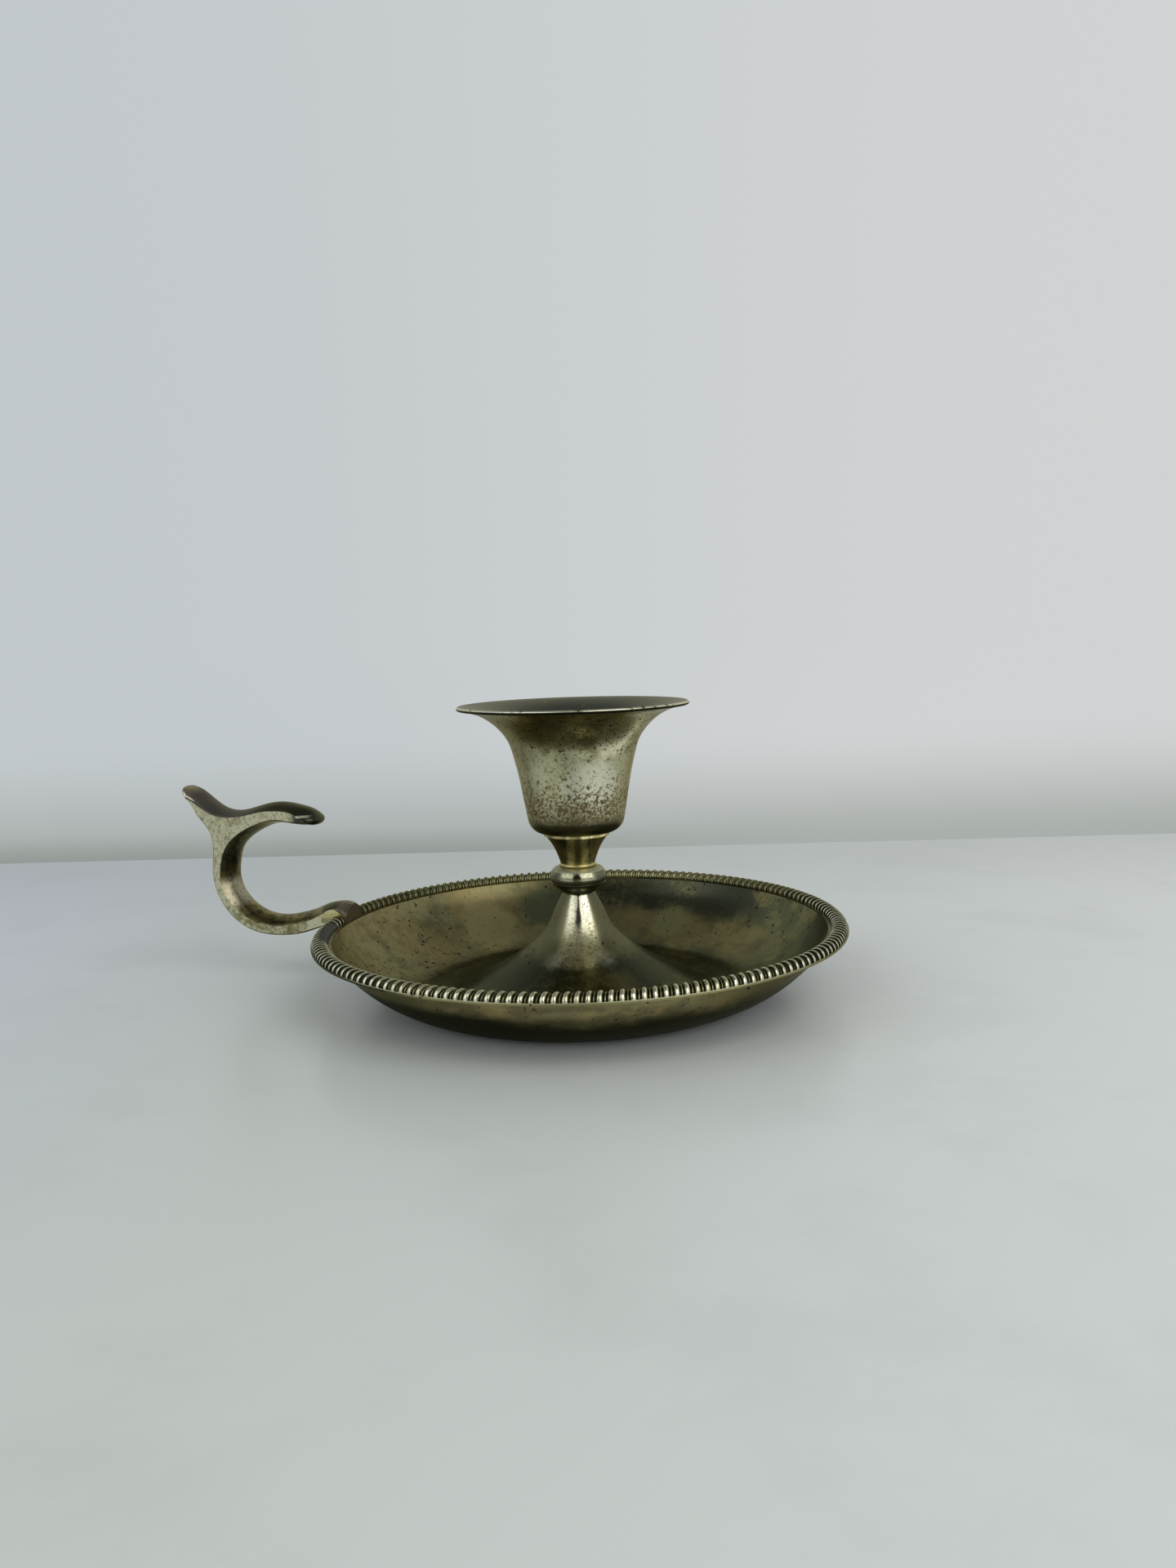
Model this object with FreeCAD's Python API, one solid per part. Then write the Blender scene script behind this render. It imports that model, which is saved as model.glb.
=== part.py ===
import FreeCAD, Part
import math
import os

# Chamberstick: a round dished pan with a rope border, a raised hollow cone in its middle, a turned
# knop and spool, a bell-shaped candle cup with a wide lip, and a cast scroll handle with a thumb rest.
# The origin is on the surface that the pan stands on, on the pan's axis. The handle points along -X.

# Pan, spun from one sheet
PAN_RADIUS = 70.0
PAN_HEIGHT = 17.0
PAN_SHEET = 0.6
PAN_FOOT_RADIUS = 42.4
PAN_FLANGE_WIDTH = 5.2
CONE_HEIGHT = 26.6
CONE_TOP_RADIUS = 3.9
CONE_FLARE_RADIUS = 38.0
# Height and width shares of the cone's flank, from its top to where it meets the floor
CONE_FLANK_SHARES = [(0.0, 1.0), (0.060, 0.859), (0.141, 0.648), (0.198, 0.551), (0.279, 0.457),
                     (0.446, 0.289), (0.65, 0.14), (1.0, 0.0)]
# Height and width shares of the wall's outer face, from the foot to the flange
PAN_WALL_SHARES = [(0.0, 0.0), (0.247, 0.075), (0.545, 0.294), (0.82, 0.625), (1.0, 1.0)]
PAN_WALL_LEAN = 24.0

# Rope border, a strip on the pan's flange, of slanted lobes with a thin ridge between them
ROPE_WIDTH = 4.2
ROPE_HEIGHT = 1.9
ROPE_EDGE_SETBACK = 0.15
ROPE_LOBES = 180
ROPE_GROOVE = 0.7
ROPE_SCALLOP = 0.3
ROPE_SLANT = 0.9
# Where each strand starts in the pitch, its share of the pitch and its share of the full swell
ROPE_LOBE_SHARES = (0.0, 0.68, 1.0)
ROPE_RIDGE_SHARES = (0.68, 0.32, 0.5)
# The four poles of a smooth arch, as shares of its half span and of its height
ARCH_SPAN_SHARES = (-1, -1, 1, 1)
ARCH_RISE_SHARES = (0, 4 / 3, 4 / 3, 0)
STRAND_SPAN_SHARES = (0, 0.3, 0.7, 1)

# Turned pieces between the pan and the cup, from the bottom up
KNOP_HEIGHT = 6.5
KNOP_RADIUS = 7.35
KNOP_FOOT_RADIUS = 4.7
KNOP_TOP_RADIUS = 5.0
KNOP_LINE_GROOVE = 0.25
KNOP_LOWER_SHARES = [(0.0, 0.0), (0.12, 0.05), (0.42, 0.16), (0.80, 0.28), (0.93, 0.36)]
KNOP_UPPER_SHARES = [(0.88, 0.40), (0.985, 0.49), (1.0, 0.60), (0.95, 0.74), (0.72, 0.90), (0.0, 1.0)]
COLLAR_HEIGHT = 1.1
COLLAR_RADIUS = 4.8
COLLAR_EDGE = 0.35
SPOOL_HEIGHT = 8.1
SPOOL_FOOT_RADIUS = 4.55
SPOOL_TOP_RADIUS = 8.7
SPOOL_TOP_EDGE = 0.7
SPOOL_SHARES = [(0.0, 0.0), (0.13, 0.23), (0.29, 0.45), (0.49, 0.67), (0.72, 0.86), (0.92, 1.0)]

# Candle cup, spun from one sheet
CUP_HEIGHT = 33.8
CUP_SHEET = 0.8
CUP_LIP_RADIUS = 30.3
CUP_LIP_EDGE = 1.0
CUP_FLOOR_RADIUS = 8.5
CUP_CORNER_RADIUS = 4.2
CUP_TAPER = 9.5
CUP_LIP_SLOPE = 6.0
# Shares of the way from the corner's top to the lip's edge, along the cup's outer face
CUP_FLARE_SHARES = [(0.060, 0.20), (0.099, 0.336), (0.140, 0.455), (0.200, 0.60), (0.265, 0.713),
                    (0.385, 0.815), (0.565, 0.909), (0.745, 0.965)]

# Screw that holds the stack, with its washer and nut inside the cone
SCREW_RADIUS = 1.5
SCREW_HEAD_RADIUS = 2.9
SCREW_HEAD_HEIGHT = 1.7
SCREW_SLOT_WIDTH = 0.7
SCREW_SLOT_DEPTH = 0.9
SCREW_TAIL = 1.4
SCREW_CLEARANCE = 0.2
WASHER_RADIUS = 2.9
WASHER_THICKNESS = 0.5
NUT_ACROSS_FLATS = 5.4
NUT_THICKNESS = 2.3
NUT_SIDES = 6

# Handle, one casting: a scroll with a leaf-shaped thumb rest on top and a saddle over the border
HANDLE_WIDTH = 10.4
HANDLE_REACH = 45.3
HANDLE_RISE = 38.0
HANDLE_TOE = 0.55
HANDLE_BEVEL = 0.4
SCROLL_CROWN = 1.9
REST_CROWN = 1.7
SADDLE_CLEARANCE = 0.15
SADDLE_OVER_ROPE = 1.8
TOE_EDGE_HEIGHT = 1.3
# Each outline point has its share of the reach and of the rise, from the pan's rim, and its share of
# the crown, which is how much fuller the middle of the casting is there than its edges
BACK_SHARES = [(0.080, -0.045, 0.0), (0.199, -0.089, 0.0), (0.360, -0.108, 0.0), (0.519, -0.082, 0.0),
               (0.660, 0.018, 0.0), (0.748, 0.166, 0.0), (0.781, 0.355, 0.0), (0.768, 0.553, 0.0),
               (0.790, 0.663, 0.0), (0.868, 0.784, 0.0), (0.936, 0.900, 0.0), (0.985, 0.958, 0.0)]
REST_SHARES = [(0.970, 0.978, 0.1), (0.914, 0.937, 0.5), (0.834, 0.839, 0.9), (0.753, 0.787, 0.8),
               (0.640, 0.768, 0.7), (0.530, 0.784, 0.8), (0.417, 0.811, 1.0), (0.331, 0.816, 1.1),
               (0.221, 0.800, 1.0), (0.140, 0.778, 0.8), (0.092, 0.750, 0.4)]
SCROLL_SHARES = [(0.115, 0.712, 0.2), (0.220, 0.729, 0.5), (0.333, 0.745, 0.6), (0.479, 0.703, 0.8),
                 (0.594, 0.634, 1.0), (0.673, 0.547, 1.2), (0.717, 0.421, 1.45), (0.728, 0.289, 1.5),
                 (0.691, 0.166, 1.3), (0.603, 0.053, 1.15), (0.475, -0.021, 1.1), (0.355, -0.037, 1.1),
                 (0.221, -0.016, 1.15), (0.104, 0.029, 1.1), (0.022, 0.079, 0.9)]
SADDLE_CROWN_SHARE = 0.6
TOE_CROWN_SHARE = 1.6
# Where the rounding of the thumb rest's two ends is centred, as shares of the reach and the rise,
# with how square each end is in plan (2 is an ellipse) and how many outline points it draws in
OUTER_TIP_SHARE = (0.868, 0.815)
OUTER_TIP_POWER = 3
OUTER_TIP_POINTS = 2
INNER_TIP_SHARE = (0.195, 0.755)
INNER_TIP_POWER = 3
INNER_TIP_ABOVE_POINTS = 2
INNER_TIP_BELOW_POINTS = 1
TIP_BULGE_SHARE = 0.45
# How far across the half width each section of the casting lies
SECTION_SHARES = [-1.0, -0.55, 0.0, 0.55, 1.0]

# Brass that joins the saddle to the rim, an arch on each side of the handle
BRAZE_HALF_SPAN = 3.2
BRAZE_RISE = 3.7
BRAZE_THICKNESS = 0.7
BRAZE_OFFSET = 1.3
BRAZE_CLEARANCE = 0.05

# How far a cut runs past the edge it ends at
CUT_OVERRUN = 1.0

AXIS = FreeCAD.Vector(0, 0, 1)
CENTRE = FreeCAD.Vector(0, 0, 0)


def save(shape, name):
    shape.exportStep("parts/" + name + ".step")


def radial(radius, height):
    """A point of a turned profile, in the plane through the axis and +X."""
    return FreeCAD.Vector(radius, 0, height)


def line(start, end):
    return Part.LineSegment(start, end).toShape()


def spline(points, first=None, last=None):
    """A smooth curve through the points, with an end direction where one is given."""
    curve = Part.BSplineCurve()
    if first is None and last is None:
        curve.interpolate(Points=points)
        return curve
    tangents = [first] + [None] * (len(points) - 2) + [last]
    flags = [tangent is not None for tangent in tangents]
    vectors = [tangent if tangent is not None else AXIS for tangent in tangents]
    curve.interpolate(Points=points, Tangents=vectors, TangentFlags=flags)
    return curve


def path(points):
    """Straight edges from point to point."""
    return [line(start, end) for start, end in zip(points, points[1:])]


def turned(edges):
    """The solid that a closed profile sweeps round the axis."""
    wire = Part.Wire(edges)
    return Part.Face(wire).revolve(CENTRE, AXIS, 360)


def shifted(curve, distance, count):
    """Evenly spaced points of a profile curve, moved to its left by the distance, as seen from -Y."""
    first, last = curve.FirstParameter, curve.LastParameter
    points = []
    for step in range(count + 1):
        at = first + (last - first) * step / count
        along = curve.tangent(at)[0]
        left = FreeCAD.Vector(-along.z, 0, along.x)
        points.append(curve.value(at) + left * distance)
    return points


def between(low, high, shares):
    """Profile points from shares of the step from the low corner to the high corner."""
    (low_radius, low_height), (high_radius, high_height) = low, high
    return [radial(low_radius + (high_radius - low_radius) * across,
                   low_height + (high_height - low_height) * up) for across, up in shares]


def drip_pan():
    """The dished pan, the flat ring that it stands on and its raised cone, as one sheet."""
    hole = SCREW_RADIUS + SCREW_CLEARANCE
    outward = FreeCAD.Vector(1, 0, 0)
    flank_points = between((CONE_TOP_RADIUS, PAN_SHEET), (CONE_FLARE_RADIUS, CONE_HEIGHT),
                           CONE_FLANK_SHARES)
    down = (flank_points[1] - flank_points[0]).normalize()
    flank = spline(flank_points, down, outward)
    flank_under = shifted(flank, -PAN_SHEET, len(flank_points))
    flange_inner = PAN_RADIUS - PAN_FLANGE_WIDTH
    lean = math.radians(PAN_WALL_LEAN)
    up = FreeCAD.Vector(math.sin(lean), 0, math.cos(lean))
    under_top = PAN_HEIGHT - PAN_SHEET
    wall_points = between((PAN_FOOT_RADIUS, 0), (flange_inner + PAN_SHEET, under_top), PAN_WALL_SHARES)
    wall = spline(wall_points, outward, up)
    wall_inner = shifted(wall, PAN_SHEET, len(wall_points))
    cone_under_top = CONE_HEIGHT - PAN_SHEET
    edges = path([radial(hole, cone_under_top), radial(hole, CONE_HEIGHT), flank_points[0]])
    edges.append(flank.toShape())
    edges += path([flank_points[-1], wall_inner[0]])
    edges.append(spline(wall_inner, outward, up).toShape())
    edges += path([wall_inner[-1], radial(flange_inner, PAN_HEIGHT), radial(PAN_RADIUS, PAN_HEIGHT),
                   radial(PAN_RADIUS, under_top), wall_points[-1]])
    edges.append(wall.toShape())
    edges += path([wall_points[0], flank_under[-1]])
    edges.append(spline(flank_under, down, outward).toShape())
    edges += path([flank_under[0], radial(flank_under[0].x, cone_under_top), radial(hole, cone_under_top)])
    return turned(Part.__sortEdges__(edges))


def rope_centre():
    """The radius of the rope border's middle line."""
    return PAN_RADIUS - ROPE_EDGE_SETBACK - ROPE_WIDTH / 2


def rope_pole(over, along, start, width, size):
    """A pole of a strand's face: over counts from its inner to its outer foot, along from side to side."""
    drop = 1 - size * ARCH_RISE_SHARES[along]
    across = ARCH_SPAN_SHARES[over]
    radius = rope_centre() + (ROPE_WIDTH / 2 - ROPE_SCALLOP * drop) * across
    height = (ROPE_HEIGHT - ROPE_GROOVE * drop) * ARCH_RISE_SHARES[over]
    slant = ROPE_SLANT / 2 / rope_centre() * across
    angle = 2 * math.pi / ROPE_LOBES * (start + width * STRAND_SPAN_SHARES[along]) - slant
    return FreeCAD.Vector(radius * math.cos(angle), radius * math.sin(angle), PAN_HEIGHT + height)


def rope_strand(shares):
    """The rounded face of one strand of the border."""
    degree = len(ARCH_SPAN_SHARES) - 1
    surface = Part.BezierSurface()
    surface.increase(degree, degree)
    for over in range(degree + 1):
        for along in range(degree + 1):
            surface.setPole(over + 1, along + 1, rope_pole(over, along, *shares))
    return surface.toShape()


def sewn(faces):
    """The shell that the faces make once their matching edges are shared."""
    group = Part.makeCompound(faces)
    group.sewShape()
    return group.Shells[0]


def foot_ring(shell, inside):
    """The closed wire of the strands' feet, on the inner or the outer side of the border."""
    ring = []
    for edge in shell.Edges:
        foot = edge.Vertexes[0].Point
        if len(shell.ancestorsOfType(edge, Part.Face)) == 1:
            if (math.hypot(foot.x, foot.y) < rope_centre()) == inside:
                ring.append(edge)
    return Part.Wire(Part.__sortEdges__(ring))


def gadroon_border():
    """The rope border: a lobe and a thin ridge, repeated round the pan and closed by a flat underside."""
    pitch = [rope_strand(ROPE_LOBE_SHARES), rope_strand(ROPE_RIDGE_SHARES)]
    strands = []
    for number in range(ROPE_LOBES):
        for strand in pitch:
            copy = strand.copy()
            copy.rotate(CENTRE, AXIS, 360 * number / ROPE_LOBES)
            strands.append(copy)
    top = sewn(strands)
    underside = Part.Face([foot_ring(top, False), foot_ring(top, True)])
    return Part.Solid(sewn(top.Faces + [underside]))


def knop():
    """The turned knop: a hollowed lower part, a fine line, a bright band and a rounded shoulder."""
    hole = SCREW_RADIUS + SCREW_CLEARANCE
    base = CONE_HEIGHT
    top = base + KNOP_HEIGHT
    lower = between((KNOP_FOOT_RADIUS, base), (KNOP_RADIUS, top), KNOP_LOWER_SHARES)
    upper = [radial(KNOP_TOP_RADIUS + (KNOP_RADIUS - KNOP_TOP_RADIUS) * across, base + KNOP_HEIGHT * up)
             for across, up in KNOP_UPPER_SHARES]
    edges = path([radial(hole, base), lower[0]])
    edges.append(spline(lower).toShape())
    edges += path([lower[-1], radial(lower[-1].x - KNOP_LINE_GROOVE, lower[-1].z), upper[0]])
    edges.append(spline(upper).toShape())
    edges += path([upper[-1], radial(hole, top), radial(hole, base)])
    return turned(Part.__sortEdges__(edges))


def spool_collar():
    """The thin ring under the spool, with its edge eased above and below."""
    hole = SCREW_RADIUS + SCREW_CLEARANCE
    base = CONE_HEIGHT + KNOP_HEIGHT
    top = base + COLLAR_HEIGHT
    crest = radial(COLLAR_RADIUS, base + COLLAR_HEIGHT / 2)
    low = radial(COLLAR_RADIUS - COLLAR_EDGE, base)
    high = radial(COLLAR_RADIUS - COLLAR_EDGE, top)
    edges = path([radial(hole, base), low])
    edges.append(Part.Arc(low, crest, high).toShape())
    edges += path([high, radial(hole, top), radial(hole, base)])
    return turned(Part.__sortEdges__(edges))


def spool():
    """The waisted spool that flares up to the flange under the cup."""
    hole = SCREW_RADIUS + SCREW_CLEARANCE
    base = CONE_HEIGHT + KNOP_HEIGHT + COLLAR_HEIGHT
    top = base + SPOOL_HEIGHT
    side = between((SPOOL_FOOT_RADIUS, base), (SPOOL_TOP_RADIUS, top - SPOOL_TOP_EDGE), SPOOL_SHARES)
    edges = path([radial(hole, base), side[0]])
    edges.append(spline(side).toShape())
    edges += path([side[-1], radial(SPOOL_TOP_RADIUS, top - SPOOL_TOP_EDGE),
                   radial(SPOOL_TOP_RADIUS, top), radial(hole, top), radial(hole, base)])
    return turned(Part.__sortEdges__(edges))


def cup_base():
    """The height of the cup's underside."""
    return CONE_HEIGHT + KNOP_HEIGHT + COLLAR_HEIGHT + SPOOL_HEIGHT


def candle_cup():
    """The bell-shaped cup: a flat floor, a rounded corner, tapered sides and a wide turned-out lip."""
    hole = SCREW_RADIUS + SCREW_CLEARANCE
    base = cup_base()
    taper = math.radians(CUP_TAPER)
    slope = math.radians(CUP_LIP_SLOPE)
    up = FreeCAD.Vector(math.sin(taper), 0, math.cos(taper))
    outward = FreeCAD.Vector(math.cos(slope), 0, math.sin(slope))
    corner = radial(CUP_FLOOR_RADIUS, base + CUP_CORNER_RADIUS)

    def corner_point(radius, angle):
        return corner + FreeCAD.Vector(radius * math.cos(angle), 0, -radius * math.sin(angle))

    def corner_arc(radius):
        angles = (math.pi / 2, (math.pi / 2 + taper) / 2, taper)
        return [corner_point(radius, angle) for angle in angles]

    outer_arc = corner_arc(CUP_CORNER_RADIUS)
    inner_arc = corner_arc(CUP_CORNER_RADIUS - CUP_SHEET)
    start = outer_arc[-1]
    lip = radial(CUP_LIP_RADIUS - CUP_LIP_EDGE / 2, base + CUP_HEIGHT - CUP_LIP_EDGE)
    flare_points = [start] + between((start.x, start.z), (lip.x, lip.z), CUP_FLARE_SHARES) + [lip]
    flare = spline(flare_points, up, outward)
    inner_points = [inner_arc[-1]] + shifted(flare, CUP_SHEET, len(flare_points))[1:-1]
    across_lip = FreeCAD.Vector(-outward.z, 0, outward.x)
    inner_points.append(lip + across_lip * CUP_LIP_EDGE)
    lip_edge = lip + across_lip * (CUP_LIP_EDGE / 2) + outward * (CUP_LIP_EDGE / 2)
    edges = path([radial(hole, base + CUP_SHEET), radial(hole, base), outer_arc[0]])
    edges.append(Part.Arc(*outer_arc).toShape())
    edges.append(flare.toShape())
    edges.append(Part.Arc(lip, lip_edge, inner_points[-1]).toShape())
    edges.append(spline(inner_points, up, outward).toShape())
    edges.append(Part.Arc(*inner_arc).toShape())
    edges += path([inner_arc[0], radial(hole, base + CUP_SHEET)])
    return turned(Part.__sortEdges__(edges))


def centre_screw():
    """The slotted screw whose head sits on the cup's floor and whose end takes the nut."""
    seat = cup_base() + CUP_SHEET
    end = CONE_HEIGHT - PAN_SHEET - WASHER_THICKNESS - NUT_THICKNESS - SCREW_TAIL
    head = Part.makeCylinder(SCREW_HEAD_RADIUS, SCREW_HEAD_HEIGHT, radial(0, seat), AXIS)
    shank = Part.makeCylinder(SCREW_RADIUS, seat - end, radial(0, end), AXIS)
    slot_floor = seat + SCREW_HEAD_HEIGHT - SCREW_SLOT_DEPTH
    corner = FreeCAD.Vector(-SCREW_HEAD_RADIUS, -SCREW_SLOT_WIDTH / 2, slot_floor)
    slot = Part.makeBox(2 * SCREW_HEAD_RADIUS, SCREW_SLOT_WIDTH, SCREW_SLOT_DEPTH, corner)
    return head.fuse(shank).removeSplitter().cut(slot)


def washer():
    """The plain washer under the cone's top."""
    base = CONE_HEIGHT - PAN_SHEET - WASHER_THICKNESS
    disc = Part.makeCylinder(WASHER_RADIUS, WASHER_THICKNESS, radial(0, base), AXIS)
    hole = Part.makeCylinder(SCREW_RADIUS + SCREW_CLEARANCE, WASHER_THICKNESS, radial(0, base), AXIS)
    return disc.cut(hole)


def nut():
    """The six-sided nut under the washer."""
    base = CONE_HEIGHT - PAN_SHEET - WASHER_THICKNESS - NUT_THICKNESS
    corner_radius = NUT_ACROSS_FLATS / 2 / math.cos(math.pi / NUT_SIDES)
    corners = [FreeCAD.Vector(corner_radius * math.cos(2 * math.pi * side / NUT_SIDES),
                              corner_radius * math.sin(2 * math.pi * side / NUT_SIDES), base)
               for side in range(NUT_SIDES + 1)]
    prism = Part.Face(Part.makePolygon(corners)).extrude(AXIS * NUT_THICKNESS)
    bore = Part.makeCylinder(SCREW_RADIUS, NUT_THICKNESS, radial(0, base), AXIS)
    return prism.cut(bore)


def handle_point(out, up):
    """A point of the handle's side outline, from its shares of the reach and the rise from the rim."""
    return FreeCAD.Vector(-PAN_RADIUS - HANDLE_REACH * out, 0, PAN_HEIGHT + HANDLE_RISE * up)


def handle_outline(shares, crown, inset):
    """Outline points moved outward by their share of the crown, and inward by the inset."""
    points = [handle_point(out, up) for out, up, _ in shares]
    moved = []
    for index, point in enumerate(points):
        before = points[max(index - 1, 0)]
        after = points[min(index + 1, len(points) - 1)]
        along = (after - before).normalize()
        distance = crown * shares[index][2] - inset
        moved.append(point + FreeCAD.Vector(-along.z, 0, along.x) * distance)
    return moved


def drawn_in(points, centre_share, power, share):
    """Points of a tip drawn in towards its centre, so that the tip is round in plan."""
    centre = handle_point(*centre_share)
    closeness = (1 - abs(share) ** power) ** (1 / power)
    return [centre + (point - centre) * closeness for point in points]


def tip_arc(start, end):
    """The rounded end between two outline points."""
    chord = end - start
    bulge = FreeCAD.Vector(-chord.z, 0, chord.x) * TIP_BULGE_SHARE
    return Part.Arc(start, start + chord / 2 + bulge, end).toShape()


def handle_section(share, shape_share, inset):
    """The side outline at a share of the half width, with the fullness that goes with the other share."""
    fullness = 1 - shape_share ** 2
    back = handle_outline(BACK_SHARES, 0, inset)
    rest = handle_outline(REST_SHARES, REST_CROWN * fullness, inset)
    scroll = handle_outline(SCROLL_SHARES, SCROLL_CROWN * fullness, inset)
    outer_tip = (OUTER_TIP_SHARE, OUTER_TIP_POWER, shape_share)
    inner_tip = (INNER_TIP_SHARE, INNER_TIP_POWER, shape_share)
    back[-OUTER_TIP_POINTS:] = drawn_in(back[-OUTER_TIP_POINTS:], *outer_tip)
    rest[:OUTER_TIP_POINTS] = drawn_in(rest[:OUTER_TIP_POINTS], *outer_tip)
    rest[-INNER_TIP_ABOVE_POINTS:] = drawn_in(rest[-INNER_TIP_ABOVE_POINTS:], *inner_tip)
    scroll[:INNER_TIP_BELOW_POINTS] = drawn_in(scroll[:INNER_TIP_BELOW_POINTS], *inner_tip)
    crown = SCROLL_CROWN * fullness
    saddle_top = PAN_HEIGHT + ROPE_HEIGHT + SADDLE_OVER_ROPE + SADDLE_CROWN_SHARE * crown - inset
    saddle = FreeCAD.Vector(-rope_centre(), 0, saddle_top)
    toe = -(rope_centre() - ROPE_WIDTH / 2 - HANDLE_TOE)
    toe_top = FreeCAD.Vector(toe, 0, PAN_HEIGHT + TOE_EDGE_HEIGHT + TOE_CROWN_SHARE * crown - inset)
    flange_middle = PAN_HEIGHT - PAN_SHEET / 2
    toe_low = FreeCAD.Vector(toe, 0, flange_middle)
    heel = FreeCAD.Vector(-PAN_RADIUS, 0, flange_middle)
    edges = [line(toe_low, heel), spline([heel] + back).toShape(), tip_arc(back[-1], rest[0]),
             spline(rest).toShape(), tip_arc(rest[-1], scroll[0]),
             spline(scroll + [saddle, toe_top]).toShape(), line(toe_top, toe_low)]
    wire = Part.Wire(edges)
    wire.translate(FreeCAD.Vector(0, HANDLE_WIDTH / 2 * share, 0))
    return wire


def rim_envelope(clearance):
    """The ring that the pan's flange and the rope border fill, with a clearance round them."""
    outer = rope_centre() + ROPE_WIDTH / 2 + clearance
    inner = rope_centre() - ROPE_WIDTH / 2 - clearance
    crown = radial(rope_centre(), PAN_HEIGHT + ROPE_HEIGHT + clearance)
    low = PAN_HEIGHT - PAN_SHEET
    rim = PAN_RADIUS + clearance
    wall = PAN_RADIUS - PAN_FLANGE_WIDTH - CUT_OVERRUN
    edges = [Part.Arc(radial(inner, PAN_HEIGHT), crown, radial(outer, PAN_HEIGHT)).toShape()]
    edges += path([radial(outer, PAN_HEIGHT), radial(rim, PAN_HEIGHT), radial(rim, low), radial(wall, low),
                   radial(wall, PAN_HEIGHT), radial(inner, PAN_HEIGHT)])
    return turned(Part.__sortEdges__(edges))


def handle():
    """The cast handle: a crowned scroll, a crowned leaf for the thumb and a saddle over the border."""
    edge_share = 1 - HANDLE_BEVEL / (HANDLE_WIDTH / 2)
    sections = [handle_section(share * edge_share, share * edge_share, 0) for share in SECTION_SHARES]
    body = Part.makeLoft(sections, True, False)
    for side in (-1, 1):
        edge = handle_section(side * edge_share, side * edge_share, 0)
        face = handle_section(side, side * edge_share, HANDLE_BEVEL)
        body = body.fuse(Part.makeLoft([edge, face], True, True))
    return body.cut(rim_envelope(SADDLE_CLEARANCE))


def saddle_braze(side):
    """The arch of brass where the saddle is joined over the border, on one side of the handle."""
    centre = FreeCAD.Vector(-rope_centre() - BRAZE_OFFSET, 0, PAN_HEIGHT)
    start = centre - FreeCAD.Vector(BRAZE_HALF_SPAN, 0, 0)
    crown = centre + FreeCAD.Vector(0, 0, BRAZE_RISE)
    end = centre + FreeCAD.Vector(BRAZE_HALF_SPAN, 0, 0)
    outline = Part.Wire([Part.Arc(start, crown, end).toShape(), line(end, start)])
    outline.translate(FreeCAD.Vector(0, side * HANDLE_WIDTH / 2, 0))
    arch = Part.Face(outline).extrude(FreeCAD.Vector(0, side * BRAZE_THICKNESS, 0))
    return arch.cut(rim_envelope(BRAZE_CLEARANCE))


def main():
    os.makedirs("parts", exist_ok=True)
    save(drip_pan(), "drip_pan")
    save(gadroon_border(), "gadroon_border")
    save(knop(), "knop")
    save(spool_collar(), "spool_collar")
    save(spool(), "spool")
    save(candle_cup(), "candle_cup")
    save(centre_screw(), "centre_screw")
    save(washer(), "washer")
    save(nut(), "nut")
    save(handle(), "handle")
    save(saddle_braze(-1), "saddle_braze_near")
    save(saddle_braze(1), "saddle_braze_far")


main()
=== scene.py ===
import math

import bpy
from mathutils import Matrix, Vector

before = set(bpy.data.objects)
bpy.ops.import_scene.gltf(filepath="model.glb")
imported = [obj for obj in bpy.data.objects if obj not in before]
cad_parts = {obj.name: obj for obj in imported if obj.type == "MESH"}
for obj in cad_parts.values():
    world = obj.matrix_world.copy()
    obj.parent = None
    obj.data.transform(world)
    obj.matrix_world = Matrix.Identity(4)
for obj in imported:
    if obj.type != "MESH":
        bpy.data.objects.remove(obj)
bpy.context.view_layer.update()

MM = 0.001
UP = Vector((0, 0, 1))

# Camera, set out in the part's own frame: it stands in front, turned round the axis, and looks a little down
CAMERA_DISTANCE = 327.8 * MM
CAMERA_HEIGHT = 95.3 * MM
CAMERA_AZIMUTH = math.radians(15.5)
CAMERA_ASIDE = 0.6 * MM
CAMERA_YAW = math.radians(-0.69)
CAMERA_PITCH = math.radians(7.05)
CAMERA_ROLL = math.radians(1.83)
CAMERA_LENS = 28.95
CAMERA_CLIP = 10 * MM

# Soft lights: name, azimuth and elevation in degrees, distance and size in metres, and radiance
SOFTBOXES = [("right_softbox", 38, 34, 1.0, (0.94, 0.95), 1.5),
             ("left_softbox", -50, 34, 1.0, (1.0, 0.95), 0.8)]

# Shelf. Its back edge comes a little nearer towards the right. Its colours hold painted light, brighter to
# the right and dimmer at the back
FLOOR_SIZE = 8.0
SHELF_DEPTH = 212.3 * MM
SHELF_SKEW = 0.047
SHELF_EDGE_WIDTH = 3 * MM
SHELF_ROUGHNESS = 0.30
SHELF_BACK_SHARE = 0.3
SHELF_COLOUR = (0.69, 0.735, 0.70)
SHELF_LEFT_COLOUR = (0.72, 0.74, 0.84)
SHELF_RIGHT_COLOUR = (0.92, 0.95, 0.95)

# Wall, painted as a glow on the floor. Its painted shade, darker at its foot, goes by how steeply the camera
# looks down, and its colour by the share aside
WALL_LOW_COLOUR = (0.39, 0.42, 0.40)
WALL_FOOT_COLOUR = (0.29, 0.32, 0.30)
WALL_COLOUR = (0.54, 0.58, 0.60)
WALL_RIGHT_COLOUR = (0.63, 0.65, 0.65)
WALL_SHADE = (0.185, 0.08)
WALL_FOOT = (0.15, 0.18)
WALL_ASIDE = (-0.4, 0.4)
FOOT_ASIDE = (0.6, -0.4)

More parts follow.
